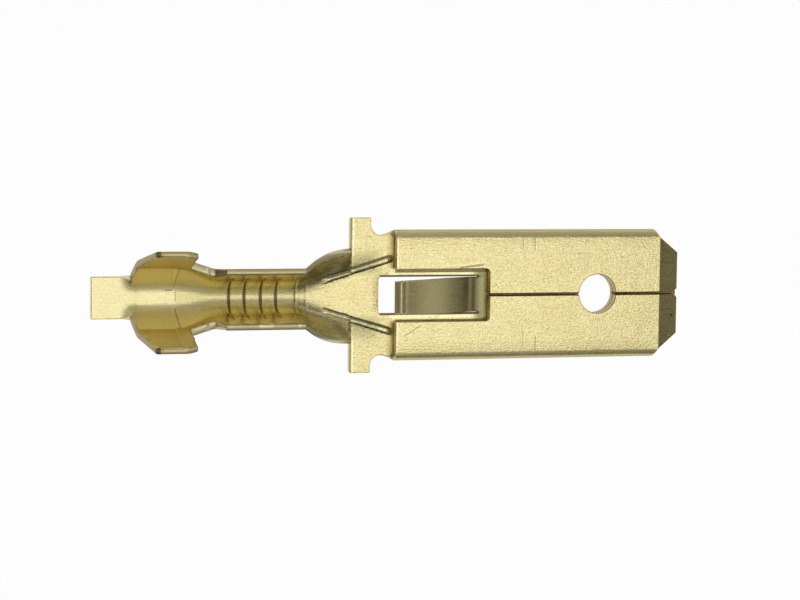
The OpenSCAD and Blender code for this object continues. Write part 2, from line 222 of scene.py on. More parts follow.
def wingEdge():  # edge of the strip from the stub to the ears
    gripEdge = total(gripRuns) + crimp["gripWall"]
    wireEdge = total(wireRuns) + crimp["wireWall"]
    points = [(along["stub"], crimp["stubWide"] / 2), (along["grip"], crimp["stubWide"] / 2)]
    points.append((along["grip"] + crimp["gripRear"], gripEdge))
    points += [(x, total(runsAt(x)) + crimp["gripWall"]) for x in spread(dieEnd, along["neck"], cuts["wing"])]
    for i in range(cuts["neckSteps"] + 1):
        u = i / cuts["neckSteps"]
        x = mix(neckFrom, along["wire"] - crimp["wireSlant"], u)
        points.append((x, total(runsAt(x)) + mix(crimp["neckRear"], crimp["neckFront"], u)))
    points += [(along["wire"], wireEdge), (along["flare"], wireEdge)]
    slit = along["ear"] - crimp["slitWide"]
    points += [(slit, crimp["wedgeEdge"]), (slit, crimp["slitDeep"]), (along["ear"], crimp["slitDeep"])]
    return points


def arc(centre, radius, start, end, steps):
    turns = [radians(mix(start, end, i / steps)) for i in range(steps + 1)]
    return [(centre[0] + radius * cos(a), centre[1] + radius * sin(a)) for a in turns]


def tipEnd(y):  # how far the corner cuts leave the tip at y
    kneeY = mix(blade["tipWide"], blade["wide"], blade["bevelLong"] / blade["tipCut"] * blade["kneeShare"]) / 2
    if y <= blade["tipWide"] / 2:
        return along["tip"]
    if y <= kneeY:
        return mix(along["tip"], bevelX, (y - blade["tipWide"] / 2) / (kneeY - blade["tipWide"] / 2))
    return mix(bevelX, along["tip"] - blade["tipCut"], (y - kneeY) / (blade["wide"] / 2 - kneeY))


def bladeEdge():  # ears, waist, flap with its window and half hole, and tip, back to the middle
    ear, earRound, earCorner = blade["earSpan"] / 2, blade["earRound"], blade["earCorner"]
    points = arc((along["ear"] + earRound, ear - earRound), earRound, 180, 90, 4)
    points += arc((along["waist"] - earCorner, ear - earCorner), earCorner, 90, 0, 3)
    hollow = (along["waist"] + blade["waistRound"], blade["waistWide"] / 2 + blade["waistRound"])
    points += arc(hollow, blade["waistRound"], 180, 270 + blade["waistTurn"], 12)
    points.append((along["blade"], blade["wide"] / 2 - thick / 4))
    window, windowRound = flapAxis - windowHalf, blade["windowRound"]
    points.append((along["blade"], window))
    points += arc((windowFront - windowRound, window + windowRound), windowRound, 270, 360, 5)
    points.append((windowFront, flapEdge))
    lean = degrees(asin(blade["seam"] / 2 / blade["holeRound"]))
    points += arc((holeX, flapAxis), blade["holeRound"], 180 + lean, 360 - lean, 32)
    points.append((along["tip"] - blade["notch"] + blade["seam"] / 2, flapEdge))
    points.append((along["tip"], flapAxis - blade["notch"]))
    heights = [blade["tipWide"] / 2 + i * (baseHalf - blade["tipWide"] / 2) / 4 for i in range(5)]
    points += [(tipEnd(y), flapAxis - y) for y in heights]
    for i in range(1, cuts["hemSteps"]):
        turn = pi * (1 - i / cuts["hemSteps"])
        points.append((tipEnd(baseHalf + bladeThick / 2 * sin(turn)), baseHalf + hemMiddle * turn))
    points += [(tipEnd(y), y) for y in reversed(heights)]
    points.append((along["tip"], 0))
    lower = arc((holeX, 0), blade["holeRound"], 0, 180, 32)
    return points + [(max(x, holeX - blade["holeFlat"]), y) for x, y in lower]


def lanceEdge():  # the slot and the tongue that it frees, from the middle to the middle
    rootHalf, slotRound = slotHalf - lance["clear"], lance["slotRound"]
    return [
        (lanceEnd, 0), (lanceEnd, lance["tipWide"] / 2), (rootX - lance["taperFrom"], rootHalf), (rootX, rootHalf),
        (rootX, slotHalf), *arc((slotRear + slotRound, slotHalf - slotRound), slotRound, 90, 180, 4), (slotRear, 0),
    ]


def cutStrip(strip, point, normal, where=None):  # one straight line across the flat strip
    faces = [f for f in strip.faces if where is None or where(f.calc_center_median())]
    edges = {e for f in faces for e in f.edges}
    verts = {v for f in faces for v in f.verts}
    bmesh.ops.bisect_plane(
        strip, geom=faces + list(edges) + list(verts), dist=1e-5, plane_co=point, plane_no=normal
    )


def cutAcross(strip, lengths, where=None):
    for x in lengths:
        cutStrip(strip, (x, 0, 0), (1, 0, 0), where)


def cutAlong(strip, widths, where):
    for s in widths:
        cutStrip(strip, (0, s, 0), (0, 1, 0), where)


def atEars(c):
    return along["ear"] < c.x < along["blade"]


def cutGrid(strip):  # the lines along which the strip can bend
    lengths = [along["grip"], along["neck"], along["wire"], along["flare"], along["ear"], along["blade"]]
    cutAcross(strip, lengths + [rootX, bevelX - cuts["bevel"], bevelX + cuts["bevel"]])
    lengths = spread(along["grip"] - crimp["stubRise"], along["grip"], cuts["stub"])
    cutAcross(strip, lengths, lambda c: c.x < along["grip"])
    lengths = spread(along["grip"], dieEnd - cuts["gripGap"], cuts["grip"])
    lengths += spread(dieEnd, along["wire"], cuts["neck"])
    cutAcross(strip, lengths, lambda c: along["grip"] < c.x < along["wire"])
    for x in relief["serrations"] + relief["faintMarks"]:
        lengths = [x + share * relief["serrationWide"] for share in cuts["serration"]]
        cutAcross(strip, lengths, lambda c: along["wire"] < c.x < along["ear"])
    lengths = spread(along["flare"], along["ear"] - crimp["slitWide"], cuts["flare"])
    cutAcross(strip, lengths, lambda c: along["flare"] < c.x < along["ear"])
    cutAlong(strip, spread(0, cuts["acrossEnd"], cuts["across"]), lambda c: c.x < along["ear"])
    earLine = cuts["earLine"]
    cutAlong(strip, [earLine], atEars)
    lengths = spread(along["ear"], along["blade"], cuts["earLong"])
    cutAcross(strip, lengths, lambda c: atEars(c) and c.y < earLine)
    lengths = spread(along["blade"] - blade["foldLead"], along["blade"], cuts["fold"])
    cutAcross(strip, lengths, lambda c: atEars(c) and c.y > earLine)
    cutAlong(strip, spread(0, earLine, cuts["earWide"]), lambda c: atEars(c) and c.y < earLine)
    cutAcross(strip, spread(along["blade"], bevelX, cuts["blade"]), lambda c: c.x > along["blade"])
    widths = spread(baseHalf, flapStart, hemMiddle * pi / cuts["hemSteps"])
    widths += [*cuts["base"], *(flapStart + s for s in cuts["flap"])]
    cutAlong(strip, widths, lambda c: c.x > along["blade"])
    lengths = spread(rootX - cuts["lanceZone"], rootX, cuts["lanceBend"])
    lengths += spread(lanceEnd, rootX - cuts["lanceZone"], cuts["lance"])
    cutAcross(strip, lengths, lambda c: onLance(c.x, c.y))
    ribX, ribS = relief["ribRear"]
    for share in cuts["rib"]:
        cutStrip(
            strip, (ribX, ribS + share * relief["ribWide"] / ribLine.x, 0), (-ribLine.y, ribLine.x, 0),
            lambda c: ribX - cuts["ribLead"] < c.x < along["blade"] and abs(ribOff(c.x, c.y)) < cuts["ribZone"],
        )


def flatStrip():
    strip = bmesh.new()
    outline = [(along["stub"], 0)] + wingEdge() + bladeEdge() + lanceEdge()
    strip.faces.new([strip.verts.new((x, s, 0)) for x, s in outline])
    cutGrid(strip)
    rim = [v for v in strip.verts if v.is_boundary]
    bmesh.ops.remove_doubles(strip, verts=rim, dist=cuts["weldRim"])
    rim = [v for v in strip.verts if v.is_boundary]
    near = bmesh.ops.find_doubles(strip, verts=strip.verts[:], keep_verts=rim, dist=cuts["weldInner"])
    bmesh.ops.weld_verts(strip, targetmap=near["targetmap"])
    bmesh.ops.dissolve_degenerate(strip, dist=1e-4, edges=strip.edges[:])
    other = bmesh.ops.duplicate(strip, geom=strip.verts[:] + strip.edges[:] + strip.faces[:])["geom"]
    bmesh.ops.scale(strip, vec=(1, -1, 1), verts=[g for g in other if isinstance(g, bmesh.types.BMVert)])
    middle = [v for v in strip.verts if abs(v.co.y) < 1e-4]
    bmesh.ops.remove_doubles(strip, verts=middle, dist=1e-4)
    strip.normal_update()
    bmesh.ops.reverse_faces(strip, faces=[f for f in strip.faces if f.normal.z < 0])
    return strip


def onLance(x, s):
    if not (lanceEnd + slotRear) / 2 < x < rootX:
        return False
    u = max(0, (rootX - lance["taperFrom"] - x) / (lance["long"] - lance["taperFrom"]))
    half = mix(lance["slotWide"] - 2 * lance["clear"], lance["tipWide"], u) / 2
    return abs(s) < (half + slotHalf) / 2


def ribOff(x, s):  # distance from the line of the rib
    ribX, ribS = relief["ribRear"]
    return (abs(s) - ribS) * ribLine.x - (x - ribX) * ribLine.y


def isWorn(edge):  # inner edges of the wings, rounder than the others
    place = (edge.verts[0].co + edge.verts[1].co) / 2
    if not along["grip"] + sheet["wornRear"] < place.x < along["ear"] - sheet["wornFront"]:
        return False
    return abs(place.y) > sheet["wornOut"] and place.z > thick / 2


def isBorder(edge, upright):  # between a flat face of the strip and one that stands or leans
    if len(edge.link_faces) != 2:
        return False
    flat = [abs(f.normal.z) > upright for f in edge.link_faces]
    return flat[0] != flat[1]


def thicken(strip):  # gives the flat strip its thickness and rounds the sheared edges
    bmesh.ops.solidify(strip, geom=strip.faces[:], thickness=thick)
    low = min(v.co.z for v in strip.verts)
    bmesh.ops.translate(strip, vec=(0, 0, -low), verts=strip.verts[:])
    bmesh.ops.recalc_face_normals(strip, faces=strip.faces[:])
    rims = [e for e in strip.edges if isBorder(e, 0.7)]
    worn = [e for e in rims if isWorn(e)]
    plain = [e for e in rims if not isWorn(e)]
    for edges, rounding in ((worn, sheet["wingRound"]), (plain, sheet["edgeRound"])):
        bmesh.ops.bevel(
            strip, geom=[e for e in edges if e.is_valid], offset=rounding, offset_type="OFFSET",
            segments=sheet["edgeSteps"], profile=0.5, affect="EDGES", clamp_overlap=False, material=-1,
        )
    strip.normal_update()
    for edge in strip.edges:  # keeps the shading of the flat faces clear of the rounded edges
        if len(edge.link_faces) == 2:
            edge.smooth = not isBorder(edge, 0.999)


def follow(runs, distance, start, slope=0.0):  # point and slope at a distance along a list of runs
    y, z = start
    left = distance
    for length, turn in runs:
        part = min(left, length)
        if abs(turn) < 1e-7 or length < 1e-7:
            y, z = y + part * cos(slope), z + part * sin(slope)
        else:
            radius, end = length / turn, slope + turn * part / length
            y, z = y + radius * (sin(end) - sin(slope)), z + radius * (cos(slope) - cos(end))
            slope = end
        left -= part
        if left <= 0:
            return y, z, slope
    return y + left * cos(slope), z + left * sin(slope), slope


def foldLance(x, s, h):
    rise = bendRun(lance["bendRound"], lance["steep"])
    bow = lance["long"] - rise[0] - lance["endLong"]
    runs = [rise, (bow, radians(lance["slope"] - lance["steep"])), (lance["endLong"], radians(lance["endTurn"]))]
    out, z, slope = follow(runs, rootX - x, (0, thick / 2))
    return rootX - out + h * sin(slope), s, z + h * cos(slope)


def foldFlap(x, s, h):  # hem and flap, rolled over the base of the blade
    turn = (s - baseHalf) / hemMiddle
    if turn < pi:
        y = baseHalf + (hemMiddle - h) * sin(turn)
        z = bladeThick / 2 - (hemMiddle - h) * cos(turn)
    else:
        y, z = flapAxis - s, bladeThick / 2 + hemMiddle - h
    share = ease((x - along["blade"] + blade["foldLead"]) / blade["foldLead"])
    return x, mix(s, y, share), mix(thick / 2 + h, z, share)


def groove(x, centre):
    return max(0, 1 - abs(x - centre) / relief["serrationWide"])


def pressed(x, s):  # how far the dies raise the upper face
    marksHere = [relief["serrationDeep"] * groove(x, mark) for mark in relief["serrations"]]
    marksHere += [relief["faintDeep"] * groove(x, mark) for mark in relief["faintMarks"]]
    height = -max(marksHere) * ease((relief["markEnd"] - s) / relief["markFade"])
    if along["grip"] < x < dieEnd:
        rear = ease((x - along["grip"]) / relief["dieRear"])
        height -= relief["dieStep"] * rear * ease((dieEnd - x) / relief["dieFront"])
    ribEnd = relief["ribEnd"]
    reach = ease((x - relief["ribRear"][0] + ribEnd) / (2 * ribEnd))
    reach *= ease((relief["ribFront"][0] - x + ribEnd) / (2 * ribEnd))
    bead = ease((1 - abs(ribOff(x, s)) / relief["ribWide"]) / relief["ribFlank"])
    return height + relief["ribHigh"] * reach * bead


def foldPoint(x, s, lift):  # lift is 0 on the lower face of the sheet and 1 on its upper face
    side = -1 if s < 0 else 1
    s = abs(s)
    h = (lift - 0.5) * sheetAt(x, s)
    if onLance(x, s):
        fx, fy, fz = foldLance(x, s, h)
    elif x > along["blade"] - blade["foldLead"] and s > baseHalf:
        fx, fy, fz = foldFlap(x, s, h)
    else:
        if lift > 0.5:
            h += pressed(x, s)
        y, z, slope = follow(runsAt(x), s, (0, thick / 2))
        fx, fy, fz = x, y - h * sin(slope), z + h * cos(slope)
    if fx > along["blade"]:
        fz = coinTip(fx, fz)
    return fx, side * fy, fz


def coinTip(x, z):  # presses the front of the blade thinner
    u = min(1, max(0, (x - bevelX) / blade["bevelLong"]))
    keep = mix(1, blade["tipThick"] / bladeThick, u)
    return bladeThick / 2 + (z - bladeThick / 2) * keep


def makeTerminal():
    strip = flatStrip()
    print("flat strip:", len(strip.faces), "faces")
    thicken(strip)
    where = strip.verts.layers.float_vector.new("strip")
    rim = strip.verts.layers.float.new("rim")
    hem = strip.verts.layers.float.new("hem")
    hemIn, hemOut = sheet["hemFade"]
    for v in strip.verts:
        x, s, lift = v.co.x, v.co.y, v.co.z / thick
        v[where] = (x, s, lift)
        v[rim] = min(1, max(0, min(lift, 1 - lift) * sheet["rimSharp"]))
        turn = (abs(s) - baseHalf) / hemMiddle
        v[hem] = ease(turn / hemIn) * ease((pi - turn) / hemOut) if x > along["blade"] else 0
        v.co = Vector(foldPoint(x, s, lift)) * mm
    for face in strip.faces:
        face.smooth = True
    data = bpy.data.meshes.new("terminal_strip")
    strip.to_mesh(data)
    strip.free()
    piece = bpy.data.objects.new("terminal_strip", data)
    bpy.context.scene.collection.objects.link(piece)
    print("terminal folded:", len(data.polygons), "faces")
    return piece


class Signal:  # a socket that takes part in sums
    def __init__(self, tree, socket):
        self.tree, self.socket = tree, socket

    def node(self, kind, settings=None, inputs=None, out=0):
        made = self.tree.nodes.new(kind)
        for name, value in (settings or {}).items():
            setattr(made, name, value)
        for name, value in (inputs or {}).items():
            if isinstance(value, Signal):
                self.tree.links.new(value.socket, made.inputs[name])
            else:
                made.inputs[name].default_value = value
        return Signal(self.tree, made.outputs[out] if made.outputs else None)

    def math(self, operation, *values):
        return self.node("ShaderNodeMath", {"operation": operation}, dict(enumerate(values)))

    def __add__(self, other):
        return self.math("ADD", self, other)

    def __radd__(self, other):
        return self.math("ADD", other, self)

    def __sub__(self, other):
        return self.math("SUBTRACT", self, other)

    def __rsub__(self, other):
        return self.math("SUBTRACT", other, self)

    def __mul__(self, other):
        return self.math("MULTIPLY", self, other)

    def __rmul__(self, other):
        return self.math("MULTIPLY", other, self)

    def clamp(self, low=0.0, high=1.0):
        return self.math("MINIMUM", self.math("MAXIMUM", self, low), high)

    def step(self, start, end):
        return self.node(
            "ShaderNodeMapRange", {"interpolation_type": "SMOOTHSTEP"},
            {"Value": self, "From Min": start, "From Max": end, "To Min": 0.0, "To Max": 1.0},
        )

    def fall(self, start, end):
        return 1 - self.step(start, end)

    def between(self, start, full, fade, end):
        return self.step(start, full) * self.fall(fade, end)

    def near(self, middle, reach, soft):
        return self.math("ABSOLUTE", self - middle).fall(reach, reach + soft)

    def tint(self, low, high):
        return self.node("ShaderNodeMix", {"data_type": "RGBA"}, {0: self, 6: low, 7: high}, out=2)


def emptyMaterial(name):
    material = bpy.data.materials.new(name)
    material.use_nodes = True
    material.node_tree.nodes.clear()
    return material, Signal(material.node_tree, None)


# Marks of the tools and of handling, with painted shade and painted highlights along grooves, creases and edges: x
# and s on the strip, half length, half width (mm), turn (degrees), strength
marks = {
    # dark: tool marks, and painted shade along the die step, the faint grooves and the slit ends
    "dark": (
        (-10.90, 0.36, 0.16, 0.02, 0, 0.7), (-10.54, -1.24, 0.64, 0.02, 97, 0.5),
        (-10.58, 1.30, 0.80, 0.03, 84, 0.3), (-10.58, 0.06, 0.24, 0.02, 90, 0.4),
        (-8.10, -1.55, 0.42, 0.03, 103, 0.7), (-4.86, -0.02, 0.30, 0.03, 90, 0.6),
        (-8.30, -1.70, 0.50, 0.02, 81, 0.4), (-7.60, -1.65, 0.40, 0.02, 81, 0.4),
        (-6.88, -1.65, 0.35, 0.02, 81, 0.4), (-6.12, -1.65, 0.35, 0.02, 81, 0.4),
        (-8.05, 1.75, 0.25, 0.03, 70, 0.3), (-7.30, 1.85, 0.25, 0.03, 60, 0.3),
        (-6.50, 1.90, 0.25, 0.03, 70, 0.3), (-5.80, 1.90, 0.20, 0.03, 60, 0.25),
        (-2.20, 1.80, 0.10, 0.05, 0, 0.7), (-2.20, -1.80, 0.10, 0.05, 0, 0.7), (-4.34, 0.0, 0.70, 0.012, 90, 0.3),
    ),
    # gold: painted shade along the creases of the insulation barrel
    "gold": (
        (-11.40, 1.93, 0.95, 0.03, 0, 0.8), (-11.40, -1.93, 0.95, 0.03, 0, 0.8),
    ),
    # bright: painted highlights on the top edges of the wings and beside a faint groove
    "bright": (
        (-6.62, -2.60, 0.33, 0.14, 0, 1), (-5.02, -2.60, 0.06, 0.10, 0, 1), (-11.12, 4.47, 0.55, 0.06, 0, 1),
        (-11.12, -4.47, 0.55, 0.06, 0, 1), (-4.78, 0.0, 0.26, 0.02, 90, 0.7),
    ),
    # flapDark: scratches on the flaps drawn with a painted shaded side, and painted shade beside the window and at a
    # tip corner
    "flapDark": (
        (6.40, 3.72, 0.28, 0.015, 90, 0.35), (7.00, 3.70, 0.32, 0.02, 90, 0.5), (6.44, -3.95, 0.42, 0.015, 90, 0.4),
        (7.08, -3.70, 0.38, 0.02, 90, 0.5), (0.86, -4.46, 0.49, 0.015, -32, 0.5), (5.08, 5.66, 0.08, 0.01, 50, 0.6),
        (5.00, -5.80, 0.08, 0.01, 120, 0.5), (3.80, 4.74, 0.60, 0.04, -7, 0.6), (3.24, -5.15, 0.06, 0.08, 0, 0.4),
        (14.22, -5.05, 0.06, 0.05, 20, 0.6),
    ),
    # flapBright: painted highlights on the lit sides of the same scratches and on edges near the tip
    "flapBright": (
        (6.46, 3.72, 0.28, 0.015, 90, 0.35), (7.06, 3.70, 0.30, 0.02, 90, 0.4), (6.50, -3.95, 0.42, 0.015, 90, 0.35),
        (7.14, -3.70, 0.36, 0.02, 90, 0.4), (5.13, 5.63, 0.06, 0.02, 50, 0.6), (5.05, -5.80, 0.06, 0.02, 120, 0.6),
        (3.80, 4.66, 0.60, 0.02, -7, 0.7), (14.04, -5.60, 0.03, 0.02, 0, 1), (14.28, -4.84, 0.03, 0.04, 0, 1),
        (14.12, -4.04, 0.03, 0.03, 0, 1), (14.30, -5.35, 0.02, 0.02, 0, 0.8),
    ),
}
markSoft = (0.04, 0.03)  # how softly a mark ends along and across it

# Where each tone lies on the strip (mm), as start, full, fade and end
spans = {
    "rearRim": (along["grip"] - 0.05, along["grip"], -12.0, -11.9),
    "wingRim": (-11.9, -11.8, -10.2, -10.0),
    "neckRim": (-10.2, -10.0, -9.05, -8.95),
    "sunk": (dieEnd - 0.1, dieEnd + 0.3, along["flare"] - 0.2, along["flare"] + 0.6),
    "ribs": (relief["ribRear"][0] - 0.1, relief["ribRear"][0], -0.25, -0.1),
    "ears": (along["ear"], along["ear"] + 0.2, -1.2, -0.3),
    "earsAcross": (0.9, 1.2, 1.7, 2.4),
    "behind": (along["blade"] - 0.5, along["blade"], along["blade"] + 0.02, along["blade"] + 0.06),
    "behindAcross": (1.2, 1.4, 3.0, 3.2),
    "slot": (slotRear, slotRear + 0.1, rootX, rootX + 0.1),
    "lance": (lanceEnd - 0.1, lanceEnd, rootX, rootX + 0.3),
    "lanceBend": (rootX - 1.3, rootX - 0.7, rootX - 0.1, rootX + 0.1),
    "level": (rootX - 0.5, rootX + 0.1, windowFront, windowFront + 0.02),
    "shelf": (along["blade"] - 0.5, along["blade"], rootX - 0.5, rootX),
    "foot": (along["blade"], along["blade"] + 0.1, windowFront, windowFront + 0.02),
    "gripped": (along["grip"] - 0.2, along["grip"] + 0.2, along["neck"], along["wire"]),
}
# Thin lines on the strip (mm), as middle, half width and soft edge
lines = {
    "crown": (baseHalf + hemMiddle * pi / 2, 0.08, 0.10),
    "serration": (-0.01, 0.035, 0.03),  # from the middle of the serration
    "wingEnd": (-8.72, 0.2, 0.05), "cornerAlong": (-11.95, 0.10, 0.06), "cornerAcross": (4.45, 0.12, 0.06),
    "earEdge": (along["ear"] + 0.04, 0.03, 0.02), "earRear": (along["ear"] + 0.13, 0.03, 0.03),
    "flapRear": (along["blade"] + 0.07, 0.03, 0.02), "tornEdgeShade": (slotRear - 0.14, 0.10, 0.06),
    "slot": (slotHalf + 0.035, 0.045, 0.02), "shelf": (slotHalf + 0.16, 0.06, 0.04),
    "footLeft": (windowHalf - 0.09, 0.08, 0.03), "footRight": (-windowHalf + 0.02, 0.05, 0.03),
    "ribOuter": (0.16, 0.045, 0.03), "ribInner": (-0.15, 0.02, 0.02), "ribTop": (0, 0.09, 0.03),
    "windowCorner": (windowFront - 0.06, 0.09, 0.05),
}
# Where a tone starts or stops (mm), as the two ends of its fade
fades = {
    "inside": (0.35, 0.65), "outside": (0.0, 0.3),  # shares of the thickness
    "flapAcross": (flapStart - 0.05, flapStart), "flapAlong": (along["blade"] - 0.05, along["blade"]),
    "crimpEnd": (along["blade"] - 0.1, along["blade"]), "outsideEnd": (along["ear"] - 0.2, along["ear"]),
    "stubEnd": (along["grip"] - 0.4, along["grip"]), "stubAcross": (0.12, 0.4),
    "stubTongue": (dieEnd - 0.1, dieEnd + 0.3),
    "sunkAcross": (0.9, 1.4), "serrationAcross": (0.85, 1.25), "wingEndAcross": (1.6, 1.8), "earAcross": (1.85, 1.95),
    "tornEdgeShadeAcross": (0.8, 0.95), "tornEdgeShadeGrain": (0.52, 0.62),
    "seam": (windowFront - 0.02, windowFront + 0.04), "seamAcross": (0.06, 0.10),
    "seamWall": (flapEdge - 0.05, flapEdge - 0.02),
    "window": (windowHalf - 0.1, windowHalf), "lanceAcross": (slotHalf - 0.03, slotHalf),
    "bevel": (bevelX - 0.02, bevelX + 0.02), "hole": (0.93, 0.98),  # squared distance from the hole's middle
    "grippedAcross": (0.2, 0.6), "crimped": (along["flare"], along["ear"]), "tone": (0.40, 0.60),
}
# dark, gold, bright, brown and olive colour painted shade and painted highlights (dark also the tool marks); hem is a
# painted shade on the folded edges
brass = {
    "pale": (0.86, 0.755, 0.41, 1), "deep": (0.77, 0.66, 0.32, 1), "rim": (0.72, 0.63, 0.38, 1),
    "hem": (0.80, 0.69, 0.35, 1), "bevel": (0.80, 0.68, 0.31, 1), "dark": (0.16, 0.12, 0.05, 1),
    "gold": (0.62, 0.42, 0.13, 1), "bright": (1.0, 0.92, 0.58, 1), "brown": (0.33, 0.24, 0.09, 1),
    "olive": (0.31, 0.30, 0.15, 1),
    "rough": 0.18, "roughLimits": (0.08, 0.9), "grainHigh": 0.000010,
}
noises = {  # stretch along x, s and thickness, scale, detail, roughness
    "pebble": ((7.0, 9.0, 1.0), 1.0, 2.0, 0.55),
    "fine": ((1.0, 1.0, 1.0), 15.0, 2.0, 0.6),
    "streak": ((0.8, 16.0, 1.0), 1.3, 3.0, 0.6),
    "cloud": ((1.0, 1.0, 1.0), 0.5, 2.0, 0.5),
}


def noise(make, strip, name):
    stretch, scale, detail, rough = noises[name]
    place = make.node("ShaderNodeMapping", {}, {"Vector": strip, "Scale": stretch})
    inputs = {"Vector": place, "Scale": scale, "Detail": detail, "Roughness": rough}
    return make.node("ShaderNodeTexNoise", {}, inputs)


def dashes(at, name):  # where any of a list of short lines lies
    found = None
    for midX, midS, long, wide, turn, strength in marks[name]:
        c, k = cos(radians(turn)), sin(radians(turn))
        ahead = at.x * c + at.s * k - (midX * c + midS * k)
        beside = at.s * c - at.x * k - (midS * c - midX * k)
        here = ahead.near(0, long, markSoft[0]) * beside.near(0, wide, markSoft[1]) * strength
        found = here if found is None else here.math("MAXIMUM", found, here)
    return found


def stripPlaces(make):  # the signals that the tones are made from
    at = SimpleNamespace()
    at.strip = make.node("ShaderNodeAttribute", {"attribute_name": "strip"}, out=1)
    at.x, at.s, at.lift = [
        make.node("ShaderNodeSeparateXYZ", {}, {"Vector": at.strip}, out=axis) for axis in range(3)
    ]
    at.side = at.s.math("ABSOLUTE", at.s)
    at.rim = make.node("ShaderNodeAttribute", {"attribute_name": "rim"}, out=2)
    at.hem = make.node("ShaderNodeAttribute", {"attribute_name": "hem"}, out=2)
    at.pebble, at.fine, at.streak, at.cloud = [noise(make, at.strip, name) for name in noises]
    at.inside = at.lift.step(*fades["inside"])
    at.onFlap = at.side.step(*fades["flapAcross"]) * at.x.step(*fades["flapAlong"]) * (1 - at.inside)
    at.onCrimp = at.inside * at.x.fall(*fades["crimpEnd"])
    at.onLance = at.side.fall(*fades["lanceAcross"]) * at.x.between(*spans["lance"])
    at.onBevel = at.x.step(*fades["bevel"])
    at.inWindow = at.side.fall(*fades["window"]) * at.inside
    ribX, ribS = relief["ribRear"]
    ribSide = (at.side - ribS) * ribLine.x - (at.x - ribX) * ribLine.y
    at.ribSide = ribSide * at.s.math("SIGN", at.s)
    at.onRib = at.x.between(*spans["ribs"]) * at.inside
    return at


def sheetTones(at):
    # painted shade: the folded edges take the darker hem colour and a dark line along their crown
    crown = at.side.near(*lines["crown"]) * at.hem
    return [(at.hem, "hem"), (crown * 0.5, "dark"), (at.rim, "rim")]


def barrelTones(at):
    # painted shade: the outer faces of the barrels are tinted brown
    outside = at.lift.fall(*fades["outside"]) * at.x.fall(*fades["outsideEnd"])
    # painted highlight: the stub and a narrow tongue of floor behind it are lightened
    tongue = 1 - at.x.step(*fades["stubEnd"]) * at.side.step(*fades["stubAcross"])
    tongue = tongue * at.x.fall(*fades["stubTongue"])
    # painted shade on the rear cut edges of the insulation wings, a painted gold sheen on their tops, and painted
    # highlights on the neck's cut edges and the rear edges of the flaps and ears
    rearRim = at.rim * at.x.between(*spans["rearRim"])
    wingRim = at.rim * at.x.between(*spans["wingRim"])
    neckRim = at.rim * at.x.between(*spans["neckRim"])
    flapRear = at.x.near(*lines["flapRear"]) * at.onFlap
    earRear = at.x.near(*lines["earRear"]) * at.side.step(*fades["earAcross"]) * at.inside
    # painted shade: the floor of the neck and the wire barrel is slightly darker
    sunk = at.x.between(*spans["sunk"]) * at.inside * at.side.fall(*fades["sunkAcross"])
    return [
        (dashes(at, "gold") * at.onCrimp, "gold"), (dashes(at, "bright") * at.inside, "bright"),
        (outside * 0.45, "brown"), (tongue * 0.3, "bright"), (rearRim * 0.75, "brown"), (wingRim * 0.35, "gold"),
        ((neckRim * 0.6 + flapRear + earRear).clamp(), "bright"), (sunk * 0.10, "dark"),
    ]


def lanceTones(at):
    # painted shade: olive on the base in front of the lance's root
    level = at.x.between(*spans["level"]) * at.inWindow
    # painted shade across the lance's bend
    bend = at.x.between(*spans["lanceBend"]) * at.onLance * at.inside
    # painted highlight along the shelf beside the slot
    shelf = at.side.near(*lines["shelf"]) * at.x.between(*spans["shelf"]) * at.inside
    return [(level, "olive"), (bend * 0.55, "dark"), (shelf * 0.8, "bright")]


def bladeTones(at):
    # painted highlight along the top of each rib
    ribTop = at.ribSide.near(*lines["ribTop"]) * at.onRib
    # painted shade: olive beside the ribs on the ears
    ears = at.x.between(*spans["ears"]) * at.side.between(*spans["earsAcross"]) * at.inside
    # painted shade: brown at the window's front corner, behind the flaps' rear edges and around the hole
    corner = at.x.near(*lines["windowCorner"]) * at.inWindow
    behind = at.x.between(*spans["behind"]) * at.side.between(*spans["behindAcross"]) * at.inside
    fromHole, fromAxis = at.x - holeX, at.side - flapAxis
    holeLow = (fromHole * fromHole + at.s * at.s).fall(*fades["hole"])
    holeTop = (fromHole * fromHole + fromAxis * fromAxis).fall(*fades["hole"])
    brown = ((corner + behind + holeLow + holeTop) * 0.8).clamp()
    return [(at.onBevel, "bevel"), (ribTop * 0.8, "bright"), (ears * 0.55, "olive"), (brown, "brown")]


